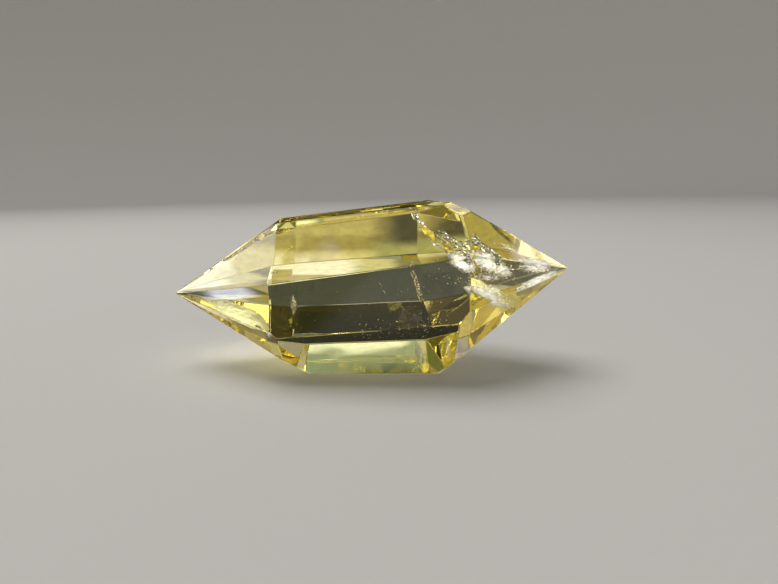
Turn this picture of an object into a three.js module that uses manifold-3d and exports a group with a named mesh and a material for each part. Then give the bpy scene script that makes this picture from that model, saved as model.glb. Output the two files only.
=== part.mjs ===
// Double terminated quartz point: one natural crystal, polished flat.
// An eight-sided body widens a little towards one end, and each end is a low pyramid.
// It lies on one body facet, as a loose crystal does.
// Units are millimetres and degrees. +Z is up and +X runs along the crystal to its wider end.
// -Y is the front. The origin is under the middle of the crystal, on the surface it rests on.

import * as THREE from "three";
import { mergeVertices } from "three/addons/utils/BufferGeometryUtils.js";
import Module from "manifold-3d";

// ---------------------------------------------------------------- driving dimensions

// Tip to tip, along X.
const LENGTH = 60;
// Height of each tip over the resting facet. The wider end lifts its tip.
const NARROW_TIP_HEIGHT = 11.3;
const WIDE_TIP_HEIGHT = 14.6;
// Height of the body's centre line over the resting facet.
const CORE_HEIGHT = 12;

// Body facets, going round from the top over the front.
// turn: which way the facet faces, 0 up, 90 to the front, 180 down, 270 to the back.
// reach: its distance from the centre line at mid length.
// widen: how fast it moves away from the centre line towards +X.
const BODY_FACETS = [
  { name: "top", turn: 4.7, reach: 11.55, widen: 5.9 },
  { name: "upper_front", turn: 43.4, reach: 11.1, widen: 7.4 },
  { name: "front", turn: 91.2, reach: 11.85, widen: 2.8 },
  { name: "lower_front", turn: 128.9, reach: 11.7, widen: -0.9 },
  { name: "base", turn: 180, reach: CORE_HEIGHT, widen: 0 },
  { name: "lower_back", turn: 226.9, reach: 9.79, widen: 0.4 },
  { name: "back", turn: 268, reach: 10.75, widen: 2.33 },
  { name: "upper_back", turn: 317.6, reach: 10.67, widen: 5.03 },
];

// Shoulders: where a pyramid facet starts on the two body edges beside it, as a distance
// along X from mid length. The first edge is shared with the facet before, the second with
// the facet after. Two neighbours that differ leave the small steps of a natural shoulder.
const NARROW_SHOULDERS = {
  top: [-13.26, -12.5],
  upper_front: [-12.5, -11.7],
  front: [-11.7, -12.3],
  lower_front: [-11.5, -11.6],
  base: [-8.16, -12.14],
  lower_back: [-12.14, -10.7],
  back: [-10.7, -10.82],
  upper_back: [-10.82, -13.26],
};
const WIDE_SHOULDERS = {
  top: [9.31, 13.5],
  upper_front: [13.5, 15],
  front: [14.6, 14.7],
  lower_front: [13.3, 12.7],
  base: [10.64, 12.77],
  lower_back: [12.77, 8.82],
  back: [8.82, 8.65],
  upper_back: [8.65, 9.31],
};

// Two small facets on the wider shoulder: one takes off its upper front corner, and one
// blunts the shoulder edge below it. lean is the slope from the centre line, and reach the
// distance from the middle of the body, square to the facet.
const SHOULDER_CORNER = { turn: 21.7, lean: 14.2, reach: 15.8 };
const SHOULDER_BEVEL = { turn: 40, lean: 9, reach: 14.92 };

// Chips along the edge between the top and the upper front facet, and one small nick on the
// narrow shoulder. at: distance along X. size: radius of the dent. depth: how deep it bites.
const TOP_EDGE_CHIPS = [
  { at: 2.3, size: 0.42, depth: 0.2, set_back: 0.1 },
  { at: 3.0, size: 0.5, depth: 0.24, set_back: 0.75 },
  { at: 3.6, size: 0.36, depth: 0.18, set_back: 0.35 },
  { at: 6.9, size: 0.34, depth: 0.15, set_back: 0.9 },
];
const SHOULDER_NICK = { down: 1.9, size: 0.4, depth: 0.18 };

// ---------------------------------------------------------------- planes and points

const wasm = await Module();
wasm.setup();

const degrees = THREE.MathUtils.degToRad;

// Outward direction of a facet that faces turn and leans by slope towards +X.
function facing(turn, slope) {
  const across = Math.cos(degrees(slope));
  return new THREE.Vector3(
    Math.sin(degrees(slope)),
    -Math.sin(degrees(turn)) * across,
    Math.cos(degrees(turn)) * across,
  );
}

// Plane of one body facet.
function bodyPlane({ turn, reach, widen }) {
  const outward = facing(turn, 0);
  const point = outward.multiplyScalar(reach).add(new THREE.Vector3(0, 0, CORE_HEIGHT));
  return new THREE.Plane().setFromNormalAndCoplanarPoint(facing(turn, -widen), point);
}

// Plane of one small shoulder facet.
function shoulderPlane({ turn, lean, reach }) {
  const outward = facing(turn, lean);
  const point = outward.clone().multiplyScalar(reach);
  point.z += CORE_HEIGHT;
  return new THREE.Plane().setFromNormalAndCoplanarPoint(outward, point);
}

// Point that three planes share.
function meet(a, b, c) {
  const bc = new THREE.Vector3().crossVectors(b.normal, c.normal);
  const ca = new THREE.Vector3().crossVectors(c.normal, a.normal);
  const ab = new THREE.Vector3().crossVectors(a.normal, b.normal);
  const volume = a.normal.dot(bc);
  return bc
    .multiplyScalar(-a.constant)
    .add(ca.multiplyScalar(-b.constant))
    .add(ab.multiplyScalar(-c.constant))
    .divideScalar(volume);
}

// Point at x on the edge between two body facets.
function onEdge(a, b, x) {
  const section = new THREE.Plane(new THREE.Vector3(1, 0, 0), -x);
  return meet(a, b, section);
}

// Plane of one pyramid facet, through the tip and its two shoulder points, facing outward.
function pyramidPlane(tip, first, second) {
  const plane = new THREE.Plane().setFromCoplanarPoints(tip, first, second);
  const inside = new THREE.Vector3(0, 0, CORE_HEIGHT);
  return plane.distanceToPoint(inside) > 0 ? plane.negate() : plane;
}

// ---------------------------------------------------------------- solids

// Closed manifold-3d solid of a three.js geometry.
function solidOf(geometry) {
  const bare = geometry.clone();
  bare.deleteAttribute("normal");
  bare.deleteAttribute("uv");
  const merged = mergeVertices(bare, 1e-5);
  const count = merged.getAttribute("position").count;
  const index = merged.index ? merged.index.array : [...Array(count).keys()];
  return new wasm.Manifold(
    new wasm.Mesh({
      numProp: 3,
      vertProperties: new Float32Array(merged.getAttribute("position").array),
      triVerts: new Uint32Array(index),
    }),
  );
}

// three.js geometry of a manifold-3d solid.
function geometryOf(solid) {
  const mesh = solid.getMesh();
  const geometry = new THREE.BufferGeometry();
  geometry.setAttribute("position", new THREE.BufferAttribute(mesh.vertProperties, 3));
  geometry.setIndex(new THREE.BufferAttribute(mesh.triVerts, 1));
  geometry.computeVertexNormals();
  return geometry;
}

// Keeps what lies behind the facet.
function cutFacet(solid, plane) {
  const inward = plane.normal.clone().negate();
  return solid.trimByPlane(inward.toArray(), plane.constant);
}

// Small angular dent, sunk by depth under a point, with outward pointing out of the stone.
function dent(point, outward, { size, depth }, twist) {
  const lump = new THREE.OctahedronGeometry(size, 0);
  lump.rotateZ(twist);
  lump.rotateX(twist * 0.7);
  const lift = outward.clone().normalize().multiplyScalar(size - depth);
  lump.translate(...point.clone().add(lift).toArray());
  return solidOf(lump);
}

// ---------------------------------------------------------------- the crystal

const body = new Map(BODY_FACETS.map((facet) => [facet.name, bodyPlane(facet)]));
const names = [...body.keys()];

// The eight pyramid planes of one end.
function pyramid(tip, shoulders) {
  return names.map((name, i) => {
    const before = body.get(names[(i + names.length - 1) % names.length]);
    const after = body.get(names[(i + 1) % names.length]);
    const own = body.get(name);
    const first = onEdge(before, own, shoulders[name][0]);
    const second = onEdge(own, after, shoulders[name][1]);
    return pyramidPlane(tip, first, second);
  });
}

const narrowTip = new THREE.Vector3(-LENGTH / 2, 0, NARROW_TIP_HEIGHT);
const wideTip = new THREE.Vector3(LENGTH / 2, 0, WIDE_TIP_HEIGHT);
const facets = [
  ...body.values(),
  ...pyramid(narrowTip, NARROW_SHOULDERS),
  ...pyramid(wideTip, WIDE_SHOULDERS),
  shoulderPlane(SHOULDER_CORNER),
  shoulderPlane(SHOULDER_BEVEL),
];

const blank = new THREE.BoxGeometry(LENGTH * 1.5, LENGTH, LENGTH);
blank.translate(0, 0, CORE_HEIGHT);
let crystal = solidOf(blank);
for (const facet of facets) {
  crystal = cutFacet(crystal, facet);
}

const top = body.get("top");
const upperFront = body.get("upper_front");
const edgeOutward = top.normal.clone().add(upperFront.normal);
TOP_EDGE_CHIPS.forEach((chip, i) => {
  const point = onEdge(top, upperFront, chip.at);
  point.y += chip.set_back;
  const outward = chip.set_back > 0.3 ? top.normal : edgeOutward;
  crystal = crystal.subtract(dent(point, outward, chip, 0.6 + i));
});

const shoulderTop = onEdge(top, upperFront, NARROW_SHOULDERS.upper_front[0]);
const shoulderFoot = onEdge(upperFront, body.get("front"), NARROW_SHOULDERS.upper_front[1]);
const shoulderRun = shoulderFoot.clone().sub(shoulderTop).normalize();
const nickPoint = shoulderTop.clone().addScaledVector(shoulderRun, SHOULDER_NICK.down);
const nickOutward = upperFront.normal.clone();
nickOutward.x -= 0.3;
crystal = crystal.subtract(dent(nickPoint, nickOutward, SHOULDER_NICK, 0.4));

// Pale honey-yellow quartz, clear and highly polished.
const citrine = new THREE.MeshStandardMaterial({
  name: "citrine",
  color: "#c9b45e",
  roughness: 0.04,
  metalness: 0,
  transparent: true,
  opacity: 0.45,
  flatShading: true,
});

const quartzPoint = new THREE.Mesh(geometryOf(crystal), citrine);
quartzPoint.name = "quartz_point";
quartzPoint.geometry.computeBoundingBox();
const middle = quartzPoint.geometry.boundingBox.getCenter(new THREE.Vector3());
quartzPoint.position.set(-middle.x, -middle.y, 0);

const crystalGroup = new THREE.Group();
crystalGroup.name = "double_terminated_quartz_point";
crystalGroup.add(quartzPoint);

export default crystalGroup;
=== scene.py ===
"""Double terminated quartz point: its visual model, dressed for Cycles.

The crystal is cut from one block, facet by facet, and its inner cracks, veils and specks are thin
pieces inside it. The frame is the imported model's: +Z up, +X along the crystal to its wider end,
-Y to the front. Lengths are in metres, except where a docstring or comment says millimetres.
"""

import logging
import math
import random
from dataclasses import dataclass
from enum import Enum
from typing import Protocol

import bpy
from mathutils import Matrix, Vector


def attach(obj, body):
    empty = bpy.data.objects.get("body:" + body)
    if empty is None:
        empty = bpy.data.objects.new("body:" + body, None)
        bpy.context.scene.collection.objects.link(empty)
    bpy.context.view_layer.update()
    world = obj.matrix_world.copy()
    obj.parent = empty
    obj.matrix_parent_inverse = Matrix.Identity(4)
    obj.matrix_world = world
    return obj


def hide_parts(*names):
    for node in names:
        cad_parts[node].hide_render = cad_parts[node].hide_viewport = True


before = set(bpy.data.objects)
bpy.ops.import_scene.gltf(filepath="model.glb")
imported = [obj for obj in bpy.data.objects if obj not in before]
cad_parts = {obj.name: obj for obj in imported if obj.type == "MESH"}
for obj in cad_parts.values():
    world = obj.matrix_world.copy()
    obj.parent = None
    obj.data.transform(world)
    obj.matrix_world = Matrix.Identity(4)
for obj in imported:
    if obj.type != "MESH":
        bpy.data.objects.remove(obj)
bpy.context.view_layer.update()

log = logging.getLogger("quartz_point")

MM = 0.001
BODY = "root"
NODE = "quartz_point"
# Name of the point attribute that says how dense a veil is.
DENSITY = "veil_body"
# Height of the crystal's centre line over the floor.
CORE_HEIGHT = 12 * MM

# A place or a direction, as X, Y and Z.
Triple = tuple[float, float, float]
# From where to where, smallest and largest, or a share each way.
Pair = tuple[float, float]
# A point on a facet and its outward direction.
Plane = tuple[Vector, Vector]
# A card's middle, the way it faces, its width and height, and which way is up on it.
CardPose = tuple[Vector, Vector, Pair, Vector]


# ---------------------------------------------------------------- small helpers


def linear(code: str) -> tuple[float, float, float, float]:
    """Turns an sRGB hex colour to linear light.

    Args:
        code: Six hex digits after a hash.

    Returns:
        Linear red, green and blue, and an alpha of 1.
    """
    parts = (int(code[i : i + 2], 16) / 255 for i in (1, 3, 5))
    return (*(c / 12.92 if c <= 0.04045 else ((c + 0.055) / 1.055) ** 2.4 for c in parts), 1.0)


def add_node(
    tree: bpy.types.NodeTree, kind: str, settings: dict | None = None, links: dict | None = None
) -> bpy.types.Node:
    """Adds one node to a material or world.

    Args:
        tree: The node tree.
        kind: The node's type, as bpy names it, without ShaderNode before it.
        settings: Values by name or number of an input socket, or by the name of a property.
        links: What feeds an input, by its name or number: an output socket, or a node, whose first
            output is meant.

    Returns:
        The new node.
    """
    node = tree.nodes.new("ShaderNode" + kind)
    for name, value in (settings or {}).items():
        if isinstance(name, str) and name not in node.inputs:
            setattr(node, name, value)
        else:
            node.inputs[name].default_value = value
    for name, source in (links or {}).items():
        socket = source.outputs[0] if isinstance(source, bpy.types.Node) else source
        tree.links.new(socket, node.inputs[name])
    return node


def new_material(name: str) -> tuple[bpy.types.Material, bpy.types.NodeTree]:
    """Makes an empty node material.

    Args:
        name: The material's name.

    Returns:
        The material and its node tree.
    """
    material = bpy.data.materials.new(name)
    material.use_nodes = True
    material.node_tree.nodes.clear()
    return material, material.node_tree


def deselect() -> None:
    """Leaves nothing selected, so that an operator acts only on what comes next."""
    if bpy.context.mode != "OBJECT":
        bpy.ops.object.mode_set(mode="OBJECT")
    bpy.ops.object.select_all(action="DESELECT")


def pick(*chosen: bpy.types.Object) -> None:
    """Selects some objects and nothing else.

    Args:
        chosen: The objects. The first becomes the active one.
    """
    deselect()
    for piece in chosen:
        piece.select_set(True)
    bpy.context.view_layer.objects.active = chosen[0]


def settle(piece: bpy.types.Object, name: str) -> bpy.types.Object:
    """Puts a piece's place in its mesh and names it.

    Args:
        piece: The object that an operator has just made.
        name: The piece's name.

    Returns:
        The same object, at the origin, unturned and unscaled.
    """
    pick(piece)
    bpy.ops.object.transform_apply(location=True, rotation=True, scale=True)
    piece.name = name
    piece.data.name = name
    return piece


def placed_copy(first: bpy.types.Object, name: str, place: Matrix) -> bpy.types.Object:
    """Copies a shape with its own mesh.

    Args:
        first: The shape that is repeated.
        name: The copy's name.
        place: Where the copy goes, how it is turned and how large it is.

    Returns:
        The copy, with its place in its mesh.
    """
    copy = bpy.data.objects.new(name, first.data.copy())
    bpy.context.scene.collection.objects.link(copy)
    copy.data.transform(place)
    return copy


def joined(parts: list[bpy.types.Object], name: str) -> bpy.types.Object:
    """Joins parts into one piece.

    Args:
        parts: The parts. The first takes in the others.
        name: The piece's name.

    Returns:
        The piece.
    """
    pick(*parts)
    if len(parts) > 1:
        bpy.ops.object.join()
    return settle(parts[0], name)


# ---------------------------------------------------------------- finishes


class Finish(Protocol):
    """What a piece is finished with."""

    def build(self) -> bpy.types.Material:
        """Makes the material."""


def dress(piece: bpy.types.Object, finish: Finish) -> None:
    """Finishes a piece and puts it on the crystal's body.

    Args:
        piece: The piece, shaped and in its place.
        finish: What it is finished with.
    """
    piece.data.materials.clear()
    piece.data.materials.append(finish.build())
    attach(piece, BODY)


@dataclass(frozen=True)
class ClearCitrine:
    """Clear yellow quartz, ground flat and polished by hand.

    The cut faces are smooth and glassy with a faint waviness, and the colour comes only from the
    depth of stone that the light crosses: pale at the points, honey yellow through the body.
    """

    name: str = "clear_citrine_polished"
    ior: float = 1.544
    # Share of each colour that one density unit lets through, and the density per metre.
    tint: str = "#f4ea00"
    density: float = 26.0
    roughness: float = 0.0
    # Length and height of the waves that a hand-held lap leaves.
    wave: float = 9 * MM
    wave_height: float = 0.02 * MM

    def build(self) -> bpy.types.Material:
        """Makes the material.

        Returns:
            The material, with its surface and its volume.
        """
        material, tree = new_material(self.name)
        place = add_node(tree, "TexCoord").outputs["Object"]
        waves = add_node(tree, "TexNoise", {"Scale": 1 / self.wave, "Detail": 1.0}, {"Vector": place})
        bump = add_node(
            tree, "Bump", {"Strength": 1.0, "Distance": self.wave_height}, {"Height": waves}
        )
        surface = add_node(
            tree,
            "BsdfPrincipled",
            {
                "Base Color": (1.0, 1.0, 1.0, 1.0),
                "Roughness": self.roughness,
                "IOR": self.ior,
                "Transmission Weight": 1.0,
            },
            {"Normal": bump},
        )
        tint = {"Color": linear(self.tint), "Density": self.density}
        depth = add_node(tree, "VolumeAbsorption", tint)
        add_node(tree, "OutputMaterial", links={"Surface": surface, "Volume": depth})
        return material


@dataclass(frozen=True)
class CrackSilver:
    """Air film in a crack, which mirrors light that meets it at a slant.

    It gives bright and dark silvery slivers, roughened by the fine steps of the break. A darker copy of
    it is painted shade on the crack's dim parts.
    """

    name: str = "crack_air_film_silver"
    shade: str = "#f1efe9"
    roughness: float = 0.22
    # Length and height of the steps.
    step: float = 0.35 * MM
    step_height: float = 0.05 * MM

    def build(self) -> bpy.types.Material:
        """Makes the material.

        Returns:
            The material.
        """
        material, tree = new_material(self.name)
        place = add_node(tree, "TexCoord").outputs["Object"]
        steps = add_node(tree, "TexNoise", {"Scale": 1 / self.step, "Detail": 3.0}, {"Vector": place})
        bump = add_node(
            tree, "Bump", {"Strength": 0.6, "Distance": self.step_height}, {"Height": steps}
        )
        surface = add_node(
            tree,
            "BsdfPrincipled",
            {"Base Color": linear(self.shade), "Metallic": 1.0, "Roughness": self.roughness},
            {"Normal": bump},
        )
        add_node(tree, "OutputMaterial", links={"Surface": surface})
        return material


@dataclass(frozen=True)
class FrostOrPaintedFilm:
    """Film, solid in the middle, feathery and broken at its rim.

    Its frost and haze are tiny healed cracks that stop and scatter light: thick, a white frost, and
    thin, a pale haze. The olive film is painted shade, where dark surroundings show through the stone,
    and the cream film mirrors a glowing card, which is painted light in the narrow point.
    thickest: how much of the light the film stops where it is densest.
    """

    name: str = "frost_veil_white"
    shade: str = "#fffdf6"
    thickest: float = 0.92
    # How many feathers lie along the veil and how many across it, and how high they stand.
    feathers: Pair = (9.0, 16.0)
    crinkle: float = 0.08 * MM

    def build(self) -> bpy.types.Material:
        """Makes the material.

        Returns:
            The material.
        """
        material, tree = new_material(self.name)
        place = add_node(tree, "TexCoord").outputs["UV"]
        drawn = add_node(
            tree,
            "Mapping",
            {"Scale": (*self.feathers, 1.0), "Rotation": (0.0, 0.0, 0.12)},
            {"Vector": place},
        )
        feathers = add_node(
            tree,
            "TexNoise",
            {"Scale": 1.0, "Detail": 6.0, "Roughness": 0.68, "Distortion": 0.5},
            {"Vector": drawn},
        )
        # The feathers, taken from -1 to 1, are added to the density, and its rim breaks up first.
        spread = add_node(tree, "Attribute", {"attribute_name": DENSITY}).outputs["Fac"]
        heaped = add_node(tree, "Math", {"operation": "MULTIPLY_ADD", 1: 2.0, 2: -1.0}, {0: feathers})
        amount = add_node(tree, "Math", {"operation": "ADD"}, {0: heaped, 1: spread})
        cover = add_node(
            tree,
            "MapRange",
            {"From Min": 0.30, "From Max": 0.80, "To Min": 0.0, "To Max": self.thickest},
            {"Value": amount},
        )
        bump = add_node(tree, "Bump", {"Strength": 0.8, "Distance": self.crinkle}, {"Height": feathers})
        surface = add_node(
            tree,
            "BsdfPrincipled",
            {"Base Color": linear(self.shade), "Metallic": 0.85, "Roughness": 0.42},
            {"Alpha": cover, "Normal": bump},
        )
        add_node(tree, "OutputMaterial", links={"Surface": surface})
        return material


@dataclass(frozen=True)
class FlakeGlint:
    """Flat inner flake that mirrors the yellow of the stone, as smooth as the crack it lines."""

    name: str
    shade: str
    roughness: float
    # Size of its brighter and duller spots, and their roughness as shares of its own.
    spot: float = 0.8 * MM
    uneven: Pair = (0.7, 1.5)

    def build(self) -> bpy.types.Material:
        """Makes the material.

        Returns:
            The material.
        """
        material, tree = new_material(self.name)
        place = add_node(tree, "TexCoord").outputs["Object"]
        spots = add_node(tree, "TexNoise", {"Scale": 1 / self.spot, "Detail": 2.0}, {"Vector": place})
        bright, dull = (self.roughness * share for share in self.uneven)
        tone = add_node(tree, "MapRange", {"To Min": bright, "To Max": dull}, {"Value": spots})
        gloss = {"Base Color": linear(self.shade), "Metallic": 0.85}
        surface = add_node(tree, "BsdfPrincipled", gloss, {"Roughness": tone})
        add_node(tree, "OutputMaterial", links={"Surface": surface})
        return material


@dataclass(frozen=True)
class PalePaper:
    """Matt paper roll under the crystal: pale warm grey, with no gloss and no grain to see."""

    name: str = "pale_paper_matt"
    shade: str = "#d8d5cf"

    def build(self) -> bpy.types.Material:
        """Makes the material.

        Returns:
            The material.
        """
        material, tree = new_material(self.name)
        matt = {"Base Color": linear(self.shade), "Roughness": 0.9, "Specular IOR Level": 0.0}
        surface = add_node(tree, "BsdfPrincipled", matt)
        add_node(tree, "OutputMaterial", links={"Surface": surface})
        return material


@dataclass(frozen=True)
class GlowingCard:
    """Evenly lit studio card, or a dark one with next to no light, that fades out at its rim."""

    name: str
    shade: str
    strength: float
    # Shares of its half width and half height over which the card fades out.
    fade: Pair
    # How far its glow varies from spot to spot, and how large the spots are.
    mottle: float = 0.18
    spot: float = 2.5 * MM

    def build(self) -> bpy.types.Material:
        """Makes the material.

        Returns:
            The material.
        """
        material, tree = new_material(self.name)
        material.cycles.emission_sampling = "NONE"
        place = add_node(tree, "TexCoord")
        centred = add_node(
            tree,
            "VectorMath",
            {"operation": "MULTIPLY_ADD", 1: (2.0, 2.0, 0.0), 2: (-1.0, -1.0, 0.0)},
            {0: place.outputs["UV"]},
        )
        outward = add_node(tree, "VectorMath", {"operation": "ABSOLUTE"}, {0: centred})
        sides = add_node(tree, "SeparateXYZ", links={"Vector": outward})
        across, up = (
            add_node(
                tree,
                "MapRange",
                {
                    "interpolation_type": "SMOOTHSTEP",
                    "From Min": 1.0 - fade,
                    "From Max": 1.0,
                    "To Min": 1.0,
                    "To Max": 0.0,
                },
                {"Value": sides.outputs[side]},
            )
            for side, fade in zip("XY", self.fade)
        )
        cover = add_node(tree, "Math", {"operation": "MULTIPLY"}, {0: across, 1: up})
        spots = add_node(
            tree,
            "TexNoise",
            {"Scale": 1 / self.spot, "Detail": 4.0, "Roughness": 0.6},
            {"Vector": place.outputs["Object"]},
        )
        dim, bright = self.strength * (1 - self.mottle), self.strength * (1 + self.mottle)
        levels = {"From Min": 0.3, "From Max": 0.7, "To Min": dim, "To Max": bright}
        glow = add_node(tree, "MapRange", levels, {"Value": spots})
        light = add_node(tree, "Emission", {"Color": linear(self.shade)}, {"Strength": glow})
        clear = add_node(tree, "BsdfTransparent")
        faded = add_node(tree, "MixShader", links={0: cover, 1: clear, 2: light})
        add_node(tree, "OutputMaterial", links={"Surface": faded})
        return material


# ---------------------------------------------------------------- the crystal


class Tip(Enum):
    """One of the crystal's two points, by the side of the middle that it is on."""

    NARROW = -1
    WIDE = 1


@dataclass(frozen=True)
class BodyFacet:
    """One of the eight long facets.

    turn: which way it faces, 0 up, 90 to the front, 180 down, in degrees.
    reach: its distance from the centre line at mid length.
    widen: how fast it moves away from the centre line towards +X, in degrees.
    narrow_shoulder, wide_shoulder: where the pyramid facet beyond it starts on its two edges.
    """

    turn: float
    reach: float
    widen: float
    narrow_shoulder: Pair
    wide_shoulder: Pair


@dataclass(frozen=True)
class Chip:
    """A small chip on an edge: its radius and depth, and where it is.

    at: distance along X on the top edge, or down the narrow shoulder. set_back: how far it lies
    behind the top edge.
    """

    at: float
    size: float
    depth: float
    set_back: float = 0.0


@dataclass
class QuartzPoint:
    """The crystal: an eight-sided body that widens a little, with a low pyramid at each end."""

    length: float = 60 * MM
    narrow_tip_height: float = 11.3 * MM
    wide_tip_height: float = 14.6 * MM
    facets: tuple[BodyFacet, ...] = (
        BodyFacet(4.7, 11.55 * MM, 5.9, (-13.26 * MM, -12.5 * MM), (9.31 * MM, 13.5 * MM)),
        BodyFacet(43.4, 11.1 * MM, 7.4, (-12.5 * MM, -11.7 * MM), (13.5 * MM, 15.0 * MM)),
        BodyFacet(91.2, 11.85 * MM, 2.8, (-11.7 * MM, -12.3 * MM), (14.6 * MM, 14.7 * MM)),
        BodyFacet(128.9, 11.7 * MM, -0.9, (-11.5 * MM, -11.6 * MM), (13.3 * MM, 12.7 * MM)),
        BodyFacet(180.0, CORE_HEIGHT, 0.0, (-8.16 * MM, -12.14 * MM), (10.64 * MM, 12.77 * MM)),
        BodyFacet(226.9, 9.79 * MM, 0.4, (-12.14 * MM, -10.7 * MM), (12.77 * MM, 8.82 * MM)),
        BodyFacet(268.0, 10.75 * MM, 2.33, (-10.7 * MM, -10.82 * MM), (8.82 * MM, 8.65 * MM)),
        BodyFacet(317.6, 10.67 * MM, 5.03, (-10.82 * MM, -13.26 * MM), (8.65 * MM, 9.31 * MM)),
    )
    # Turn, lean and reach of the two small facets on the wider shoulder.
    shoulder_corner: Triple = (21.7, 14.2, 15.8 * MM)
    shoulder_bevel: Triple = (40.0, 9.0, 14.92 * MM)
    # The block's length, width and height, as shares of the crystal's length.
    block: Triple = (1.1, 0.6, 0.6)
    # A cut goes through corners this near to it, and corners this near to each other are merged.
    cut_snap: float = 1e-7
    weld: float = 0.005 * MM
    # Polish rounds the edges that turn by more than so many degrees.
    edge_round: float = 0.10 * MM
    edge_turn: float = 3
    top_edge_chips: tuple[Chip, ...] = (
        Chip(2.3 * MM, 0.42 * MM, 0.20 * MM, 0.10 * MM),
        Chip(3.0 * MM, 0.50 * MM, 0.24 * MM, 0.75 * MM),
        Chip(3.6 * MM, 0.36 * MM, 0.18 * MM, 0.35 * MM),
        Chip(6.9 * MM, 0.34 * MM, 0.15 * MM, 0.90 * MM),
    )
    shoulder_nick: Chip = Chip(1.9 * MM, 0.40 * MM, 0.18 * MM)
    # A chip set back further than this bites the top facet alone.
    on_edge_until: float = 0.3 * MM
    # How far the nick leans towards the narrow point, and how rough a chip is, as a share of it.
    nick_lean: float = 0.3
    chip_roughness: float = 0.12
    finish: ClearCitrine = ClearCitrine()

    def facing(self, turn: float, slope: float) -> Vector:
        """Gives the outward direction of a facet.

        Args:
            turn: Which way it faces round the body, in degrees.
            slope: How far it leans towards +X, in degrees.

        Returns:
            A unit vector.
        """
        a, s = math.radians(turn), math.radians(slope)
        return Vector((math.sin(s), -math.sin(a) * math.cos(s), math.cos(a) * math.cos(s)))

    def body_plane(self, index: int) -> Plane:
        """Gives the plane of a long facet.

        Args:
            index: The facet's place in the round.

        Returns:
            The plane.
        """
        f = self.facets[index % len(self.facets)]
        point = self.facing(f.turn, 0) * f.reach + Vector((0, 0, CORE_HEIGHT))
        return point, self.facing(f.turn, -f.widen)

    def on_edge(self, first: int, second: int, x: float) -> Vector:
        """Finds the point at x on the edge between two long facets.

        Args:
            first: One facet.
            second: The facet beside it.
            x: The distance along the crystal.

        Returns:
            The point.
        """
        (p, n), (q, m) = self.body_plane(first), self.body_plane(second)
        rows = Matrix((n, m, Vector((1, 0, 0))))
        return rows.inverted() @ Vector((p.dot(n), q.dot(m), x))

    def pyramid_plane(self, index: int, tip: Tip) -> Plane:
        """Gives the plane of a pyramid facet.

        Args:
            index: The long facet that it meets.
            tip: The point that it leads to.

        Returns:
            The plane.
        """
        height = self.wide_tip_height if tip is Tip.WIDE else self.narrow_tip_height
        apex = Vector((tip.value * self.length / 2, 0, height))
        f = self.facets[index]
        starts = f.wide_shoulder if tip is Tip.WIDE else f.narrow_shoulder
        first = self.on_edge(index - 1, index, starts[0])
        second = self.on_edge(index, index + 1, starts[1])
        normal = (first - apex).cross(second - apex).normalized()
        inside = Vector((0, 0, CORE_HEIGHT))
        return apex, normal if normal.dot(inside - apex) < 0 else -normal

    def shoulder_plane(self, turn: float, lean: float, reach: float) -> Plane:
        """Gives the plane of a small shoulder facet.

        Args:
            turn: Which way it faces round the body, in degrees.
            lean: How far it leans towards +X, in degrees.
            reach: Its distance from the middle of the body.

        Returns:
            The plane.
        """
        normal = self.facing(turn, lean)
        return normal * reach + Vector((0, 0, CORE_HEIGHT)), normal

    def planes(self) -> list[Plane]:
        """Lists every facet's plane, body first, then both points and the shoulder.

        Returns:
            The planes.
        """
        count = range(len(self.facets))
        found = [self.body_plane(i) for i in count]
        found += [self.pyramid_plane(i, tip) for tip in Tip for i in count]
        found += [self.shoulder_plane(*facet) for facet in (self.shoulder_corner, self.shoulder_bevel)]
        return found

    def cut_block(self) -> bpy.types.Object:
        """Cuts the crystal from a block, one bisection for each facet.

        Returns:
            The cut crystal, still centred on its own axis.
        """
        deselect()
        bpy.ops.mesh.primitive_cube_add(
            size=1,
            location=(0, 0, CORE_HEIGHT),
            scale=tuple(self.length * share for share in self.block),
        )
        crystal = settle(bpy.context.object, "crystal")
        bpy.ops.object.mode_set(mode="EDIT")
        for point, outward in self.planes():
            bpy.ops.mesh.select_all(action="SELECT")
            bpy.ops.mesh.bisect(
                plane_co=point,
                plane_no=outward,
                use_fill=True,
                clear_outer=True,
                threshold=self.cut_snap,
            )
        bpy.ops.mesh.select_all(action="SELECT")
        bpy.ops.mesh.remove_doubles(threshold=self.weld)
        bpy.ops.mesh.normals_make_consistent(inside=False)
        bpy.ops.object.mode_set(mode="OBJECT")
        return crystal

    def chip_places(self) -> list[tuple[Vector, Vector, Chip]]:
        """Finds where the chips sit on the uncentred crystal.

        Returns:
            A point, an outward direction and the chip itself, for each.
        """
        top, front = self.body_plane(0)[1], self.body_plane(1)[1]
        found = []
        for chip in self.top_edge_chips:
            point = self.on_edge(0, 1, chip.at) + Vector((0, chip.set_back, 0))
            outward = top if chip.set_back > self.on_edge_until else (top + front).normalized()
            found.append((point, outward, chip))
        starts = self.facets[1].narrow_shoulder
        first, last = self.on_edge(0, 1, starts[0]), self.on_edge(1, 2, starts[1])
        point = first + (last - first).normalized() * self.shoulder_nick.at
        outward = (front + Vector((-self.nick_lean, 0, 0))).normalized()
        return [*found, (point, outward, self.shoulder_nick)]

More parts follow.
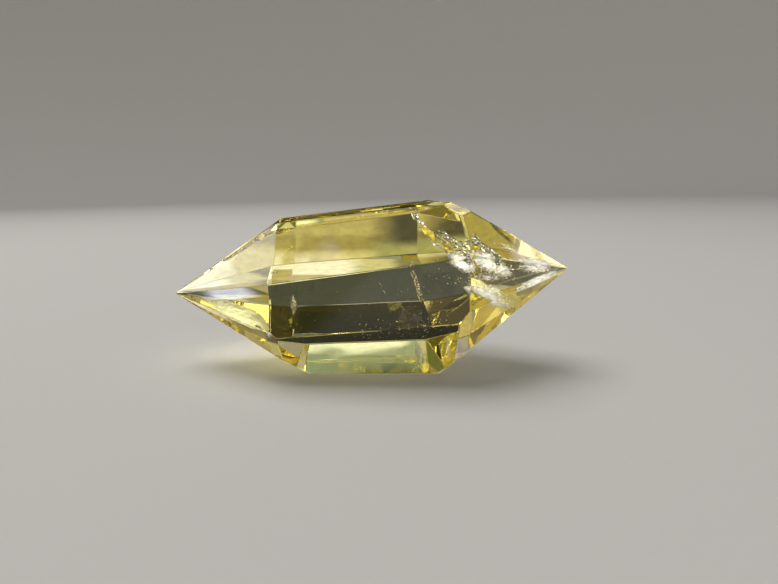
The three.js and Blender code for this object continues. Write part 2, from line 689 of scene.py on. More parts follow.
    def chip_edges(self, crystal: bpy.types.Object, shift: Vector) -> None:
        """Strikes the chips out of the crystal, each with a small angular lump, turned its own way.

        Args:
            crystal: The cut crystal.
            shift: How far the crystal was moved when it was centred.
        """
        for i, (point, outward, chip) in enumerate(self.chip_places()):
            deselect()
            place = point + outward * (chip.size - chip.depth) + shift
            bpy.ops.mesh.primitive_ico_sphere_add(
                subdivisions=2, radius=chip.size, location=place, rotation=(0.7 + i, 0.4 * i, 0.6 + i)
            )
            lump = settle(bpy.context.object, "chip_lump")
            bpy.ops.object.mode_set(mode="EDIT")
            bpy.ops.mesh.select_all(action="SELECT")
            bpy.ops.transform.vertex_random(offset=chip.size * self.chip_roughness, seed=i + 1)
            bpy.ops.object.mode_set(mode="OBJECT")
            pick(crystal)
            strike = crystal.modifiers.new("chip", "BOOLEAN")
            strike.operation = "DIFFERENCE"
            strike.solver = "EXACT"
            strike.object = lump
            bpy.ops.object.modifier_apply(modifier=strike.name)
            bpy.data.objects.remove(lump)

    def centre(self, crystal: bpy.types.Object) -> Vector:
        """Moves the cut crystal so that the middle of its box is over the origin.

        Args:
            crystal: The cut crystal.

        Returns:
            How far it was moved.
        """
        across = [v.co.y for v in crystal.data.vertices]
        shift = Vector((0, -(min(across) + max(across)) / 2, 0))
        pick(crystal)
        bpy.ops.transform.translate(value=shift)
        bpy.ops.object.transform_apply(location=True, rotation=False, scale=False)
        return shift

    def round_edges(self, crystal: bpy.types.Object) -> None:
        """Takes the sharpness off every edge, as polishing does.

        Args:
            crystal: The cut crystal.
        """
        pick(crystal)
        bevel = crystal.modifiers.new("polish", "BEVEL")
        bevel.width = self.edge_round
        bevel.segments = 2
        bevel.limit_method = "ANGLE"
        bevel.angle_limit = math.radians(self.edge_turn)
        bpy.ops.object.modifier_apply(modifier=bevel.name)

    def build(self) -> bpy.types.Object:
        """Builds and dresses the crystal.

        Returns:
            The finished piece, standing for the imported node.
        """
        crystal = self.cut_block()
        shift = self.centre(crystal)
        self.round_edges(crystal)
        self.chip_edges(crystal, shift)
        dress(crystal, self.finish)
        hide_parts(NODE)
        return crystal


# ---------------------------------------------------------------- inside the crystal


def turned(along: Vector, facing: Vector) -> Matrix:
    """Gives the turn that lays X along one direction and faces Z another way.

    Args:
        along: Where X goes.
        facing: Where Z goes, as nearly as it can.

    Returns:
        A rotation.
    """
    x = along.normalized()
    z = (facing - x * facing.dot(x)).normalized()
    return Matrix((x, z.cross(x), z)).transposed()


def millimetres(*values: float) -> Vector:
    """Turns a place given in millimetres to metres."""
    return Vector(values) * MM


@dataclass
class ShardTrail:
    """Row of small flat shards along a line inside the stone, as a crack shows.

    Lengths are in millimetres. path: points that the row follows. width: how far the shards
    stray from the line. size: shortest and longest shard. facing: the side they turn to.
    tilt: how far a shard turns out of its row, in degrees. slim: its width as a share of its
    length. uneven: least and most of that width. raised: how far its middle is moved, as shares
    of its length. flat_top: size of that middle, as shares of the shard's.
    """

    name: str
    path: tuple[Triple, ...]
    count: int
    width: float
    size: Pair
    finish: Finish
    facing: Triple
    tilt: float
    slim: float
    seed: int
    uneven: Pair = (0.6, 1.3)
    raised: Triple = (0.05, 0.04, 0.06)
    flat_top: Triple = (0.45, 0.6, 1)

    def shard(self) -> bpy.types.Object:
        """Models one shard: a thin five-sided chip with a raised middle.

        Returns:
            The shard, one metre across.
        """
        deselect()
        bpy.ops.mesh.primitive_circle_add(vertices=5, radius=0.5, fill_type="NGON")
        shard = bpy.context.object
        bpy.ops.object.mode_set(mode="EDIT")
        bpy.ops.mesh.select_all(action="SELECT")
        bpy.ops.mesh.extrude_region_move(TRANSFORM_OT_translate={"value": self.raised})
        bpy.ops.transform.resize(value=self.flat_top)
        bpy.ops.mesh.select_all(action="SELECT")
        bpy.ops.mesh.normals_make_consistent(inside=False)
        # Extruding leaves the sides in no fixed order, so they are put in one.
        bpy.ops.mesh.sort_elements(type="CURSOR_DISTANCE", elements={"FACE"})
        bpy.ops.object.mode_set(mode="OBJECT")
        return shard

    def point_at(self, share: float) -> tuple[Vector, Vector]:
        """Finds a place on the line.

        Args:
            share: How far along it, from 0 to 1.

        Returns:
            The place and the line's direction there.
        """
        points = [millimetres(*p) for p in self.path]
        spans = [(b - a).length for a, b in zip(points, points[1:])]
        left = share * sum(spans)
        for a, b, span in zip(points, points[1:], spans):
            if left <= span or b is points[-1]:
                break
            left -= span
        return a.lerp(b, min(left / span, 1.0)), (b - a).normalized()

    def build(self) -> bpy.types.Object:
        """Lays the shards along the line and joins them.

        Returns:
            The finished piece.
        """
        draw = random.Random(self.seed)
        width, shortest, longest = (length * MM for length in (self.width, *self.size))
        facing = Vector(self.facing)
        first = self.shard()
        shards = []
        for i in range(self.count):
            share = (i + draw.random()) / self.count
            place, along = self.point_at(share)
            side = along.cross(facing).normalized()
            place = place + side * draw.uniform(-1, 1) * width / 2
            lean = Matrix.Rotation(math.radians(draw.uniform(-self.tilt, self.tilt)), 3, along)
            lean = Matrix.Rotation(math.radians(draw.uniform(-self.tilt, self.tilt)), 3, side) @ lean
            length = draw.uniform(shortest, longest)
            grow = Matrix.Diagonal((length, length * self.slim * draw.uniform(*self.uneven), length))
            turn = (lean @ turned(along, facing) @ grow).to_4x4()
            shards.append(placed_copy(first, self.name, Matrix.Translation(place) @ turn))
        bpy.data.objects.remove(first)
        trail = joined(shards, self.name)
        dress(trail, self.finish)
        return trail


@dataclass
class Veil:
    """Thin curved sheet inside the stone, dense in its middle and thinning out to its rim.

    Lengths are in millimetres. start, end: the ends of its long middle line. core: how dense its
    middle is. facing: the side it turns to. ripple: how uneven it is. layers: how many sheets
    lie behind one another. gap, twist: how far each lies behind the last, and how many degrees
    further it is turned. sag: how far its middle bulges. film: its thickness.
    """

    name: str
    start: Triple
    end: Triple
    width: float
    finish: Finish
    core: float
    seed: int
    facing: Triple = (0.453, -0.785, 0.423)
    ripple: float = 0.12
    layers: int = 2
    gap: float = 0.28
    twist: float = 9
    sag: float = 0.3
    film: float = 0.01
    columns: int = 24
    rows: int = 10

    def sheet(self, layer: int) -> bpy.types.Object:
        """Models one sheet, shapes it and gives it its density.

        Args:
            layer: Its place in the stack, from 0.

        Returns:
            The sheet.
        """
        a, b = millimetres(*self.start), millimetres(*self.end)
        twist = Matrix.Rotation(math.radians(self.twist * layer), 3, "X")
        turn = turned(b - a, Vector(self.facing)) @ twist
        deselect()
        bpy.ops.mesh.primitive_grid_add(
            x_subdivisions=self.columns,
            y_subdivisions=self.rows,
            size=1,
            location=(a + b) / 2 - turn.col[2] * self.gap * MM * layer,
            rotation=turn.to_euler(),
        )
        sheet = bpy.context.object
        sheet.scale = ((b - a).length, self.width * MM, 1)
        spread = sheet.data.attributes.new(DENSITY, "FLOAT", "POINT")
        for vertex, value in zip(sheet.data.vertices, spread.data):
            across, up = vertex.co.x * 2, vertex.co.y * 2
            value.value = self.core * (1 - min(1.0, across * across + up * up))
            vertex.co.z = -(self.sag * MM) * (across * across + 0.5 * up * up)
        sheet = settle(sheet, self.name)
        self.trim(sheet)
        bpy.ops.mesh.select_all(action="SELECT")
        bpy.ops.transform.vertex_random(offset=self.ripple * MM, seed=self.seed + layer)
        bpy.ops.mesh.delete_loose(use_verts=True, use_edges=True, use_faces=False)
        bpy.ops.object.mode_set(mode="OBJECT")
        return sheet

    def trim(self, sheet: bpy.types.Object) -> None:
        """Deletes the bare corners of a sheet, and leaves it in edit mode.

        Args:
            sheet: The sheet, with its density.
        """
        bare = [value.value <= 0 for value in sheet.data.attributes[DENSITY].data]
        bpy.ops.object.mode_set(mode="EDIT")
        bpy.ops.mesh.select_mode(type="VERT")
        bpy.ops.mesh.select_all(action="DESELECT")
        bpy.ops.object.mode_set(mode="OBJECT")
        for vertex, empty in zip(sheet.data.vertices, bare):
            vertex.select = empty
        bpy.ops.object.mode_set(mode="EDIT")
        bpy.ops.mesh.delete(type="VERT")

    def build(self) -> bpy.types.Object:
        """Stacks the sheets and gives them the thickness of a film.

        Returns:
            The finished piece.
        """
        veil = joined([self.sheet(layer) for layer in range(self.layers)], self.name)
        film = veil.modifiers.new("film", "SOLIDIFY")
        film.thickness = self.film * MM
        bpy.ops.object.modifier_apply(modifier=film.name)
        dress(veil, self.finish)
        return veil


@dataclass
class SpeckCloud:
    """Loose tiny crystals scattered through a box of the stone.

    Lengths are in millimetres. low, high: corners of the box. size: smallest and largest speck.
    slim: its two shorter sides, as shares of the longest. bunching: the higher, the more of the
    specks are small.
    """

    name: str
    low: Triple
    high: Triple
    count: int
    size: Pair
    finish: Finish
    seed: int
    slim: Pair = (0.6, 0.35)
    bunching: int = 3

    def build(self) -> bpy.types.Object:
        """Scatters the specks.

        Returns:
            The finished piece.
        """
        draw = random.Random(self.seed)
        smallest, largest = (size * MM for size in self.size)
        deselect()
        bpy.ops.mesh.primitive_uv_sphere_add(segments=4, ring_count=2, radius=0.5)
        first = bpy.context.object
        specks = []
        for _ in range(self.count):
            place = millimetres(*(draw.uniform(a, b) for a, b in zip(self.low, self.high)))
            axis = Vector([draw.uniform(-1, 1) for _ in range(3)]).normalized()
            size = smallest + (largest - smallest) * draw.random() ** self.bunching
            grow = Matrix.Diagonal((size, size * self.slim[0], size * self.slim[1]))
            turn = (Matrix.Rotation(draw.uniform(0, math.tau), 3, axis) @ grow).to_4x4()
            specks.append(placed_copy(first, self.name, Matrix.Translation(place) @ turn))
        bpy.data.objects.remove(first)
        cloud = joined(specks, self.name)
        dress(cloud, self.finish)
        return cloud


@dataclass
class InnerWorld:
    """Everything that shows inside the crystal: the shoulder crack, veils, flakes and specks, and films
    of painted shade and painted light.
    """

    silver: CrackSilver = CrackSilver()
    # A darker copy of the silver film: painted shade on the crack's dim parts.
    shaded_silver: CrackSilver = CrackSilver("crack_air_film_painted_shade", "#aab0ad", 0.12)
    frost: FrostOrPaintedFilm = FrostOrPaintedFilm()
    haze: FrostOrPaintedFilm = FrostOrPaintedFilm("haze_veil_thin", "#fff8e2", 0.4, (4.0, 5.0))
    # Dark olive film: painted shade where dark surroundings show through the stone.
    shade: FrostOrPaintedFilm = FrostOrPaintedFilm("painted_shade_film_olive", "#57532e", 0.62, (7.0, 4.0))
    # Cream mirror film that reflects a glowing card: painted light in the narrow point.
    light_film: FrostOrPaintedFilm = FrostOrPaintedFilm("painted_light_film_cream", "#fbf7cc", 0.78, (2.0, 1.5))
    gold: FlakeGlint = FlakeGlint("flake_gold_glint", "#f2d95a", 0.4)
    cream: FlakeGlint = FlakeGlint("speck_cream_glint", "#fff3cf", 0.5)

    def cracks(self) -> list[ShardTrail]:
        """Lists the crack that runs down from the top edge and over the wider shoulder.

        Returns:
            Its parts.
        """
        silver, shaded_silver, out = self.silver, self.shaded_silver, (0.35, -0.85, 0.4)
        upper = ((7.46, -2.66, 22.33), (8.17, -3.89, 21.29), (8.72, -4.8, 20.52), (9.41, -5.17, 19.91))
        lower = ((9.6, -5.4, 19.5), (10.6, -6.5, 18.3), (11.43, -6.89, 17.86), (13.0, -8.03, 16.54))
        branch = (
            (10.5, -5.5, 19.79), (11.3, -6.03, 19.42), (12.96, -7.6, 18.72), (14.43, -9.24, 17.93)
        )
        shoulder = (
            (14.48, -7.53, 18.92), (15.32, -7.02, 18.59), (16.17, -6.94, 18.06), (18.43, -6.78, 16.7)
        )
        spur = ((15.0, -6.3, 19.8), (15.6, -6.5, 19.1), (16.2, -6.5, 18.4))
        rim = ((14.3, -7.7, 19.2), (15.4, -7.3, 18.8), (16.4, -7.2, 18.2), (18.6, -7.1, 16.9))
        return [
            ShardTrail("crack_top", upper, 46, 0.9, (0.2, 0.9), silver, out, 40, 0.45, 3),
            ShardTrail("crack_down", lower, 60, 0.9, (0.15, 0.7), silver, out, 45, 0.45, 5),
            ShardTrail("crack_branch", branch, 80, 1.7, (0.3, 1.0), silver, out, 38, 0.3, 8),
            # The trails with the darker film carry painted shade on the crack's dim parts.
            ShardTrail("crack_branch_shaded", branch, 50, 1.4, (0.4, 1.2), shaded_silver, out, 45, 0.35, 9),
            ShardTrail("crack_shoulder", shoulder, 60, 1.1, (0.4, 1.3), shaded_silver, out, 45, 0.45, 11),
            ShardTrail("crack_spur", spur, 20, 0.5, (0.3, 0.9), shaded_silver, out, 45, 0.45, 13),
            ShardTrail("crack_rim", rim, 70, 1.0, (0.15, 0.6), silver, out, 50, 0.45, 17),
        ]

    def flakes(self) -> list[ShardTrail | SpeckCloud]:
        """Lists the gold plates by the crack, the streak of flakes and the loose specks.

        Returns:
            Their parts.
        """
        gold, cream, out = self.gold, self.cream, (0.35, -0.85, 0.35)
        plate_upper = ((9.0, -4.9, 20.6), (10.3, -6.3, 18.9))
        plate_lower = ((11.4, -6.8, 18.4), (12.6, -8.0, 17.1))
        streak = ((7.14, -7.61, 15.86), (7.53, -7.61, 14.91), (8.05, -7.6, 13.0), (8.31, -7.59, 11.9))
        feather = ((-18.9, -0.9, 16.6), (-18.15, -2.43, 15.42), (-18.06, -3.38, 14.53))
        spots = ((9.1, -8.7, 16.2), (11.7, -9.3, 15.2), (13.4, -9.4, 14.5))
        marks = ((2.62, -6.37, 14.13), (2.9, -6.37, 13.3), (3.27, -6.38, 12.46))
        corner = ((-11.8, -7.34, 15.15), (-11.5, -7.34, 15.0))
        grains = ((12.0, -9.9, 17.8), (15.2, -9.5, 16.9), (18.0, -7.5, 15.9), (20.8, -5.1, 14.9))
        grains_low = ((14.2, -9.9, 14.9), (16.6, -8.2, 12.6), (19.0, -5.7, 11.3), (22.0, -2.6, 9.7))
        crumbs = ((19.5, -6.0, 15.9), (23.0, -4.0, 15.6), (27.0, -1.4, 14.9))
        return [
            ShardTrail("gold_plate_upper", plate_upper, 5, 0.4, (1.2, 1.9), gold, out, 10, 0.6, 2),
            ShardTrail("gold_plate_lower", plate_lower, 4, 0.3, (1.1, 1.7), gold, out, 10, 0.6, 4),
            ShardTrail("flake_streak", streak, 150, 0.65, (0.07, 0.32), cream, out, 60, 0.7, 6),
            ShardTrail("flake_feather_left", feather, 16, 0.5, (0.1, 0.5), cream, out, 30, 0.25, 7),
            ShardTrail("flake_spots", spots, 26, 1.8, (0.08, 0.38), cream, out, 55, 0.5, 9),
            ShardTrail("flake_marks", marks, 9, 0.6, (0.1, 0.35), cream, out, 40, 0.4, 10),
            ShardTrail("flake_corner", corner, 4, 0.3, (0.3, 0.5), cream, out, 25, 0.9, 12),
            ShardTrail("frost_grains", grains, 150, 2.2, (0.08, 0.45), cream, out, 60, 0.5, 14),
            ShardTrail("frost_grains_low", grains_low, 130, 1.8, (0.08, 0.4), cream, out, 60, 0.5, 15),
            ShardTrail("frost_crumbs_tip", crumbs, 110, 1.6, (0.06, 0.35), cream, out, 60, 0.4, 16),
            SpeckCloud("specks_right", (5, -9.5, 6.5), (14.5, -3, 14.5), 90, (0.06, 0.26), cream, 21),
            SpeckCloud("specks_body", (-11, -9, 6), (8, 7, 18), 130, (0.05, 0.18), cream, 22),
            SpeckCloud("specks_low", (-1, -9.9, 7.0), (11, -8.4, 9.7), 64, (0.13, 0.36), cream, 23),
        ]

    def veils(self) -> list[Veil]:
        """Lists the frosted veils, most of them in the wider point, and the films of painted shade and
        painted light.

        Returns:
            The veils.
        """
        frost, haze, shade, light_film = self.frost, self.haze, self.shade, self.light_film
        low, lower, tip = (0.56, -0.81, 0.17), (0.57, -0.82, -0.09), (0.55, -0.79, 0.24)
        end, back, left = (0.55, -0.79, 0.2), (0.2, -0.9, 0.39), (-0.42, -0.89, -0.16)
        fine = 0.03
        return [
            Veil("frost_shoulder", (11.6, -9.5, 18.1), (15.2, -10.3, 16.0), 2.0, frost, 1.1, 31),
            Veil("frost_upper", (14.3, -9.9, 17.8), (21.0, -4.9, 14.6), 2.4, frost, 1.05, 33, layers=3),
            Veil(
                "frost_lower", (13.9, -9.5, 13.9), (18.8, -6.6, 11.15), 1.4, frost, 1.15, 35,
                low, fine, 3,
            ),
            Veil(
                "frost_lower_wisps", (13.9, -8.6, 14.7), (21.2, -4.0, 9.9), 2.8, frost, 0.5, 36,
                low, fine,
            ),
            Veil(
                "frost_tail", (17.0, -6.4, 11.75), (22.0, -2.7, 9.4), 0.7, frost, 0.85, 37,
                lower, fine,
            ),
            Veil("frost_tip", (20.7, -4.8, 15.9), (27.6, -0.4, 14.65), 2.2, frost, 0.62, 39, tip),
            Veil(
                "frost_feather", (20.2, -5.7, 12.4), (29.0, 0.9, 14.55), 1.3, frost, 0.7, 41,
                end, fine,
            ),
            # Painted shade: a dark olive film in the upper wider point.
            Veil(
                "painted_shade_upper", (16.6, -1.8, 22.0), (21.6, -2.5, 17.5), 1.4, shade, 1.0, 42,
                back, layers=1,
            ),
            Veil("haze_streaks", (14.2, -9.9, 15.3), (20.0, -5.8, 14.6), 1.8, frost, 0.5, 43),
            Veil("haze_upper", (16.5, -6.4, 19.2), (24.0, -2.8, 16.6), 2.0, haze, 0.5, 44),
            Veil("haze_low_left", (7.62, -7.0, 7.4), (8.3, -1.2, 1.0), 1.8, frost, 0.55, 45),
            Veil("haze_low_right", (11.84, -7.8, 8.3), (12.5, -3.0, 2.2), 1.2, frost, 0.5, 47),
            # Painted light: cream films in the narrow point that mirror the glowing card beside it.
            Veil(
                "light_film_narrow_point", (-23.18, -3.16, 10.71), (-12.24, -7.96, 8.57), 3.1, light_film, 3.0, 51,
                left, fine, 1,
            ),
            Veil(
                "light_film_narrow_tip", (-24.94, -2.06, 10.96), (-18.63, -4.99, 10.46), 1.3, light_film, 3.0, 52,
                left, fine, 1,
            ),
            Veil(
                "light_film_narrow_foot", (-15.53, -7.95, 9.71), (-12.2, -9.14, 7.78), 1.5, light_film, 3.0, 53,
                left, fine, 1,
            ),
            Veil("haze_front_left", (-9.0, -9.4, 13.2), (-8.8, -9.4, 9.8), 1.3, haze, 0.8, 49),
        ]

    def build(self) -> list[bpy.types.Object]:
        """Builds every inner piece.

        Returns:
            The pieces.
        """
        return [piece.build() for piece in (*self.cracks(), *self.flakes(), *self.veils())]


# ---------------------------------------------------------------- the studio


@dataclass(frozen=True)
class Card:
    """A flat studio card, seen only in the stone's reflections and through it."""

    name: str
    shade: str
    strength: float
    fade: Pair

    def pose(self) -> CardPose:
        """Says where the card stands. Each kind of card has its own way."""
        raise NotImplementedError

    def build(self) -> None:
        """Makes the card and hides it from the camera, from diffuse light and from shadows."""
        middle, facing, size, up = self.pose()
        deselect()
        bpy.ops.mesh.primitive_plane_add(size=1)
        card = bpy.context.object
        card.scale = (*size, 1)
        card.rotation_euler = turned(up.cross(facing), facing).to_euler()
        card.location = middle
        card = settle(card, self.name)
        card.data.materials.append(GlowingCard(self.name, self.shade, self.strength, self.fade).build())
        card.visible_camera = False
        card.visible_diffuse = False
        card.visible_shadow = False


@dataclass(frozen=True)
class FloorCard(Card):
    """A card that lies on the floor. x, y: from where to where, lift: its height, in millimetres."""

    x: Pair
    y: Pair
    lift: float

    def pose(self) -> CardPose:
        """Says where the card lies.

        Returns:
            Its pose.
        """
        middle = millimetres(sum(self.x) / 2, sum(self.y) / 2, self.lift)
        size = ((self.x[1] - self.x[0]) * MM, (self.y[1] - self.y[0]) * MM)
        return middle, Vector((0, 0, 1)), size, Vector((0, 1, 0))


@dataclass(frozen=True)
class StandingCard(Card):
    """A card that stands off the crystal and faces it.

    azimuth: from where to where, in degrees from straight behind towards +X. rise: its lowest and
    highest edge, in degrees above level. away: how far it stands from the crystal, in millimetres.
    """

    azimuth: Pair
    rise: Pair
    away: float

    def pose(self) -> CardPose:
        """Says where the card stands.

        Returns:
            Its pose.
        """
        away = self.away * MM
        a, e = (math.radians(sum(span) / 2) for span in (self.azimuth, self.rise))
        out = Vector((math.sin(a) * math.cos(e), math.cos(a) * math.cos(e), math.sin(e)))
        wide, tall = (
            2 * away * math.tan(math.radians(high - low) / 2) for low, high in (self.azimuth, self.rise)
        )
        middle = Vector((0, 0, CORE_HEIGHT)) + out * away
        right = Vector((math.cos(a), -math.sin(a), 0))
        return middle, -out, (wide * math.cos(e), tall), right.cross(out)


@dataclass
class Studio:
    """Pale floor that curves up into a backdrop all round, soft lights and the camera."""

    floor_radius: float = 0.9
    wall_height: float = 0.7
    curve_radius: float = 0.25
    # Sides of the round floor, and steps of the curve at its rim.
    floor_sides: int = 96
    curve_steps: int = 8
    # The base facet lies on the floor with a hair of air under it, as on any paper.
    floor_drop: float = 0.05 * MM
    room_shade: str = "#f3f4f8"
    room_strength: float = 0.3
    lamp_side: float = 0.6
    lamp_watts: float = 4.0
    lamp_place: Triple = (-0.25, 0.1, 0.8)
    # The camera looks at its aim from a distance, so many degrees above it and to its right.
    camera_distance: float = 90.18 * MM
    camera_rise: float = 10.53
    camera_swing: float = 3.52
    camera_roll: float = -1.085
    camera_aim: Triple = (3.33 * MM, 0.70 * MM, 11.19 * MM)
    camera_clip: float = 5 * MM
    lens: float = 27.49
    # Light that the stone throws on the floor behind it, dark flags, and softboxes.
    # Each has its name, colour, strength and fade. Then come x, y and lift, or azimuth, rise and away.
    cards: tuple[Card, ...] = (
        FloorCard("glow_gold", "#ffed94", 0.56, (0.10, 0.06), (-26, 17), (9, 60), 0.20),
        FloorCard("glow_dip", "#ffea84", 0.40, (0.25, 0.60), (-13, 6), (25.5, 33), 0.26),
        FloorCard("glow_pale", "#fff5d2", 1.00, (0.15, 0.35), (-27, -9), (6, 27), 0.35),
        FloorCard("glow_pale_right", "#fff3ae", 0.80, (0.25, 0.35), (-12, 5), (6, 27.5), 0.32),
        FloorCard("glow_right", "#fffba5", 0.44, (0.30, 0.40), (1.5, 19), (15, 31), 0.36),
        FloorCard("shade_right", "#ffeda9", 0.07, (0.80, 0.45), (-0.5, 22), (26, 45), 0.40),
        FloorCard("band_right", "#fff6bc", 0.74, (0.40, 0.20), (-12, 12), (40, 60), 0.35),
        FloorCard("band_left", "#fffbe4", 1.10, (0.50, 0.15), (-26, 1), (40, 60), 0.38),
        FloorCard("band_dim", "#fff2b0", 0.28, (0.45, 0.30), (5, 22), (44, 60.5), 0.40),
        FloorCard("dark_far", "#f5fffe", 0.07, (0.04, 0.04), (-50, 24), (57, 160), 0.15),
        FloorCard("strip_blue", "#f9ffe5", 0.34, (0.20, 0.20), (0.5, 9.3), (58, 63.5), 0.42),
        FloorCard("strip_olive", "#ffe400", 0.35, (0.15, 0.15), (8.7, 17), (58, 63.5), 0.42),
        FloorCard("glow_corner", "#fff3cc", 1.50, (0.15, 0.12), (11.8, 24), (14, 31), 0.45),
        # Just under the base: a dark card in front, painted shadow where the stone rests, and a gold
        # one behind, painted light.
        FloorCard("under_front", "#eeffd2", 0.19, (0.04, 0.08), (-12.4, 14.5), (-10.5, 0.8), -0.03),
        FloorCard("under_back", "#ffe58c", 0.62, (0.04, 0.10), (-12.4, 13), (0.9, 5), -0.03),
        FloorCard("under_left", "#ffeba2", 0.58, (0.20, 0.25), (-37, -12.4), (-30, 9), 0.08),
        FloorCard("front_left_glow", "#ffe07a", 0.55, (0.20, 0.20), (-50, -24), (-36, -13), 0.14),
        FloorCard("front_left_dim", "#ffd94a", 0.12, (0.20, 0.20), (-68, -46), (-60, -33), 0.14),
        FloorCard("left_sky_glint", "#f0f2ff", 9.0, (0.15, 0.60), (-118, -90), (-25.5, -9), 0.16),
        FloorCard("strip_gold", "#ffe9b4", 0.42, (0.25, 0.20), (17, 27), (63, 85), 0.18),
        # Mirrored by the cream films in the narrow point, which paint light there.
        FloorCard("light_film_glow", "#faffee", 3.5, (0.12, 0.12), (-40, -19), (-18, -4), 0.22),
        FloorCard("right_foot_grey", "#bcbcff", 1.0, (0.15, 0.15), (12.8, 19), (-6, 1), 0.12),
        FloorCard("left_back_flag", "#fff6e0", 0.08, (0.12, 0.12), (-170, -46), (44, 170), 0.12),
        FloorCard("left_floor", "#f2e8c6", 0.28, (0.12, 0.12), (-160, -34), (-30, 40), 0.06),
        FloorCard("right_near", "#fff4d6", 0.45, (0.12, 0.12), (14, 34), (-20, 34), 0.10),
        FloorCard("right_front", "#fff4dc", 2.30, (0.12, 0.12), (38, 58), (-36, -17), 0.20),
        FloorCard("right_far_grey", "#aeaedd", 0.95, (0.15, 0.15), (110, 260), (-120, -48), 0.20),
        FloorCard("front_left_flag", "#ffef40", 0.11, (0.12, 0.12), (-130, -10), (-150, -20), 0.10),
        StandingCard("back_flag", "#ffffff", 0.01, (0.05, 0.05), (-21.6, 19), (-4, 30), 220),
        StandingCard("back_left_gold", "#ffe88e", 0.55, (0.05, 0.12), (-38, -21.4), (-4, 30), 222),
        StandingCard("back_right_gold", "#ffee9a", 0.17, (0.12, 0.12), (28, 48), (8, 24), 220),
        StandingCard("back_right_pale", "#fff0cc", 1.05, (0.80, 0.12), (16.3, 30.5), (14, 22), 218),
        StandingCard("back_high_cream", "#fff0cc", 1.20, (0.20, 0.20), (23.4, 36.2), (26, 34), 218),
        StandingCard("back_rim", "#fff0e0", 2.60, (0.20, 0.20), (20.3, 33), (33, 47), 230),
        StandingCard("left_low_gold", "#fff0a0", 0.50, (0.12, 0.12), (-125, -95), (-1, 14), 262),
        StandingCard("left_softbox", "#dde2ff", 2.40, (0.20, 0.12), (-115, -55), (15, 44), 260),
        StandingCard("left_high", "#d6d2ff", 2.00, (0.20, 0.20), (-145, -98), (56, 73), 245),
        StandingCard("right_softbox", "#f2f4ff", 1.40, (0.12, 0.12), (60, 118), (4, 50), 260),
        StandingCard("right_haze_light", "#eef0ff", 2.80, (0.15, 0.30), (46, 62), (18, 31.5), 236),
        StandingCard("key_softbox", "#fffdf8", 11.0, (0.12, 0.12), (84, 124), (22, 51), 240),
        StandingCard("veil_light", "#fffdf8", 11.0, (0.15, 0.15), (118, 152), (32, 54), 238),
        StandingCard("front_high_low", "#e6fff4", 0.46, (0.10, 0.16), (148, 218), (34, 59.5), 242),
        StandingCard("front_high_right", "#fff6e2", 0.78, (0.15, 0.15), (147, 170), (54, 63), 238),
        StandingCard("front_high_top", "#f8ffff", 1.50, (0.20, 0.20), (163, 214), (56.4, 78), 240),
    )

    def lay_floor(self) -> None:
        """Lays the floor, a disc drawn up at its rim into a round backdrop."""
        deselect()
        bpy.ops.mesh.primitive_circle_add(
            vertices=self.floor_sides,
            radius=self.floor_radius,
            fill_type="NGON",
            location=(0, 0, -self.floor_drop),
        )
        floor = settle(bpy.context.object, "paper_floor")
        bpy.ops.object.mode_set(mode="EDIT")
        bpy.ops.mesh.select_mode(type="EDGE")
        bpy.ops.mesh.select_all(action="SELECT")
        bpy.ops.mesh.region_to_loop()
        out = self.floor_radius
        for i in range(self.curve_steps):
            a, b = (math.radians(90 * k / self.curve_steps) for k in (i, i + 1))
            grown = out + self.curve_radius * (math.sin(b) - math.sin(a))
            rise = self.curve_radius * (math.cos(a) - math.cos(b))
            bpy.ops.mesh.extrude_edges_move(TRANSFORM_OT_translate={"value": (0, 0, rise)})
            bpy.ops.transform.resize(value=(grown / out, grown / out, 1), center_override=(0, 0, 0))
            out = grown
        bpy.ops.mesh.extrude_edges_move(TRANSFORM_OT_translate={"value": (0, 0, self.wall_height)})
        bpy.ops.mesh.select_all(action="SELECT")
        bpy.ops.mesh.normals_make_consistent(inside=True)
        bpy.ops.object.mode_set(mode="OBJECT")
        bpy.ops.object.shade_smooth_by_angle(angle=math.radians(40))
        floor.data.materials.append(PalePaper().build())

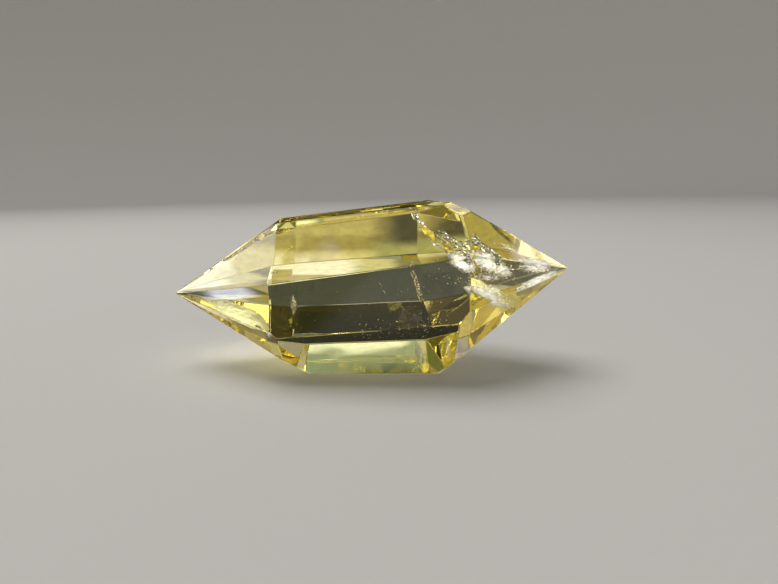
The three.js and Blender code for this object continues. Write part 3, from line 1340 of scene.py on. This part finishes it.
    def light(self) -> None:
        """Lights the room evenly, with one wide soft lamp over the crystal."""
        world = bpy.data.worlds.new("soft_room")
        world.use_nodes = True
        tree = world.node_tree
        tree.nodes.clear()
        glow = {"Color": linear(self.room_shade), "Strength": self.room_strength}
        add_node(tree, "OutputWorld", links={"Surface": add_node(tree, "Background", glow)})
        bpy.context.scene.world = world
        lamp = bpy.data.lights.new("overhead_soft", "AREA")
        lamp.size = self.lamp_side
        lamp.energy = self.lamp_watts
        holder = bpy.data.objects.new("overhead_soft", lamp)
        holder.location = self.lamp_place
        holder.rotation_euler = (-holder.location).to_track_quat("-Z", "Y").to_euler()
        holder.visible_camera = False
        holder.visible_glossy = False
        holder.visible_transmission = False
        bpy.context.scene.collection.objects.link(holder)

    def place_camera(self) -> None:
        """Places the camera a little above the crystal, in front and to the right of its middle."""
        camera = bpy.data.objects.new("camera", bpy.data.cameras.new("camera"))
        camera.data.lens = self.lens
        camera.data.clip_start = self.camera_clip
        rise, swing = math.radians(self.camera_rise), math.radians(self.camera_swing)
        back = Vector((math.sin(swing), -math.cos(swing), 0)) * math.cos(rise)
        back += Vector((0, 0, math.sin(rise)))
        turn = back.to_track_quat("Z", "Y").to_matrix().to_4x4()
        turn = turn @ Matrix.Rotation(math.radians(self.camera_roll), 4, "Z")
        place = Vector(self.camera_aim) + back * self.camera_distance
        camera.matrix_world = Matrix.Translation(place) @ turn
        bpy.context.scene.collection.objects.link(camera)
        bpy.context.scene.camera = camera

    def set_light_paths(self) -> None:
        """Lets light bounce often enough inside the stone, and keeps colours plain."""
        scene = bpy.context.scene
        scene.cycles.max_bounces = 24
        scene.cycles.glossy_bounces = 16
        scene.cycles.transmission_bounces = 16
        scene.cycles.transparent_max_bounces = 32
        scene.view_settings.view_transform = "Standard"

    def build(self) -> None:
        """Sets up floor, cards, lights and camera."""
        self.lay_floor()
        for card in self.cards:
            card.build()
        self.light()
        self.place_camera()
        self.set_light_paths()


def main() -> None:
    """Builds the crystal and the studio, and reports each piece."""
    logging.basicConfig(level=logging.INFO, format="%(message)s")
    crystal = QuartzPoint().build()
    for piece in (crystal, *InnerWorld().build()):
        log.info("%s: %d faces", piece.name, len(piece.data.polygons))
    Studio().build()


if __name__ == "__main__":
    main()
